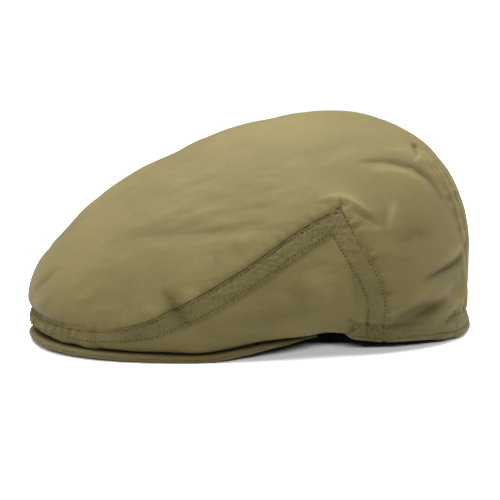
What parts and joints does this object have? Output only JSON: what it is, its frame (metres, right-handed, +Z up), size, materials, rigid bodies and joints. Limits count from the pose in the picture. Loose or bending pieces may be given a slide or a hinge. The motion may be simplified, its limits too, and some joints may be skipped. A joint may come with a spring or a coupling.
{
  "type": "cotton flat cap",
  "caption": "Soft flat cap with a puffed crown sewn down over a short stiff brim, V-seamed side panels, a turned rear hem, a lining and a head band.",
  "frame": {"origin": "centre of the cap's footprint, at the level of the surface it lies on", "axes": "-Y toward the brim, +Y toward the back of the head, +X toward the wearer's left, +Z up"},
  "size_m": [0.1956, 0.2704, 0.132],
  "materials": {
    "outer_cotton": "olive khaki, dense smooth cotton with a faint sheen",
    "brim_board": "flexible brim board, never seen",
    "lining": "dark satin lining",
    "head_band": "dark twill head band",
    "tape": "plain woven tape",
    "thread": "polyester sewing thread, a shade darker than the cotton"
  },
  "bodies": {
    "root": {"crown_panel": "outer_cotton", "side_panel_left": "outer_cotton", "side_panel_right": "outer_cotton", "brim_top_cover": "outer_cotton", "brim_under_cover": "outer_cotton", "brim_board": "brim_board", "lining_crown": "lining", "lining_side_left": "lining", "lining_side_right": "lining", "head_band": "head_band", "stay_tape": "tape", "size_label": "tape", "front_seam_thread_upper": "thread", "front_seam_thread_lower": "thread", "back_seam_thread_rear_left": "thread", "back_seam_thread_rear_right": "thread", "back_seam_thread_front_left": "thread", "back_seam_thread_front_right": "thread", "dart_thread_front_left": "thread", "dart_thread_front_right": "thread", "dart_thread_rear_left": "thread", "dart_thread_rear_right": "thread", "hem_thread": "thread", "head_band_thread": "thread"}
  },
  "joints": []
}
